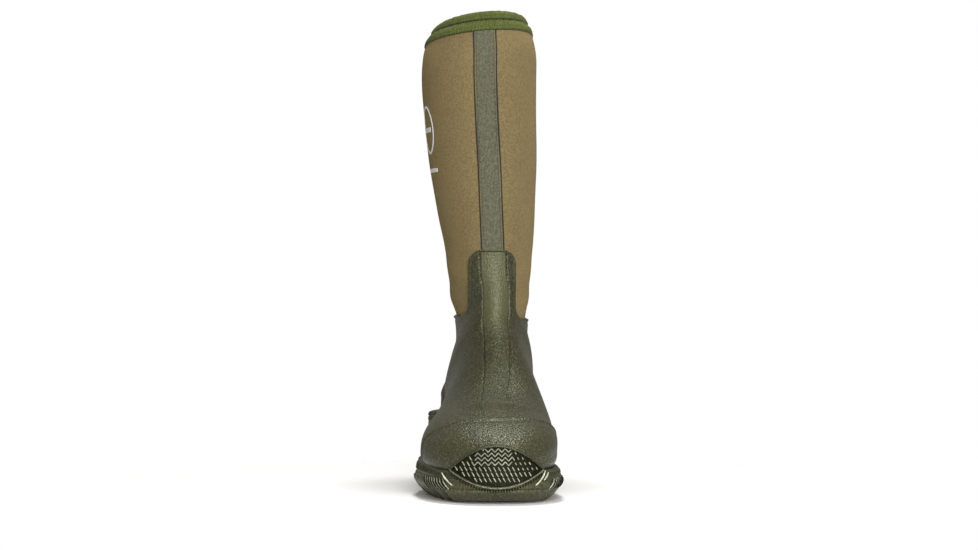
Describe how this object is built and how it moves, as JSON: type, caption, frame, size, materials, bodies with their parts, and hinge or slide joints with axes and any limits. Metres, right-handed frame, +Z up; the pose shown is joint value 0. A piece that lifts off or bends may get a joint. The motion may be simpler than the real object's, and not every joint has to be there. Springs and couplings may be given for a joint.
{
  "type": "insulated field boot",
  "caption": "Tall pull-on insulated boot: neoprene shaft with a stretch topline over a rubber galosh, lugged sole and toe bumper; flexes at the ankle.",
  "frame": {"origin": "on the ground, under the middle of the boot's bounding box", "axes": "+Z up along the shaft, toe towards -Y, outer side of the foot towards -X"},
  "size_m": [0.118, 0.31, 0.4011],
  "materials": {
    "galosh_rubber": "matte moulded rubber with a fine pebble and an olive tint",
    "outsole_rubber": "matte moulded rubber, darker than the galosh",
    "neoprene": "brown jersey knit bonded to closed-cell foam",
    "seam_tape": "grey-green woven tape, stitched along both edges",
    "binding_knit": "green stretch knit, gathered",
    "lining_fleece": "black fleece knit",
    "midsole_foam": "closed-cell foam",
    "footbed_foam": "moulded closed-cell foam",
    "fibreboard": "stiff non-woven board",
    "shank_steel": "mill finish strip",
    "badge_print": "flat white transfer print"
  },
  "bodies": {
    "foot": {"outsole": "outsole_rubber", "midsole": "midsole_foam", "shank": "shank_steel", "insole_board": "fibreboard", "foxing_band": "outsole_rubber", "toe_bumper": "galosh_rubber", "galosh": "galosh_rubber", "toe_cap": "galosh_rubber", "heel_counter": "galosh_rubber", "heel_kick_ledge": "galosh_rubber", "instep_stripe": "galosh_rubber", "foot_bootie": "neoprene", "toe_puff": "fibreboard", "heel_stiffener": "fibreboard", "foot_lining": "lining_fleece"},
    "shaft": {"shaft_panel_lateral": "neoprene", "shaft_panel_medial": "neoprene", "front_stripe": "seam_tape", "rear_stripe": "seam_tape", "shin_shield": "galosh_rubber", "shield_stripe": "galosh_rubber", "shaft_lining": "lining_fleece", "topline_lower_band": "binding_knit", "topline_upper_roll": "binding_knit", "side_badge": "badge_print"},
    "footbed": {"footbed_foam": "footbed_foam", "footbed_cover": "lining_fleece"}
  },
  "joints": [
    {"name": "ankle_flex", "type": "hinge", "parent": "foot", "child": "shaft", "pos_m": [0.0058, 0.0774, 0.105], "axis": [1, 0, 0], "range_deg": [-10, 20], "stiffness_Nm_per_rad": 6},
    {"name": "footbed_lift", "type": "hinge", "parent": "foot", "child": "footbed", "pos_m": [0.0058, -0.1286, 0.0384], "axis": [1, 0, 0], "range_deg": [0, 6]}
  ]
}
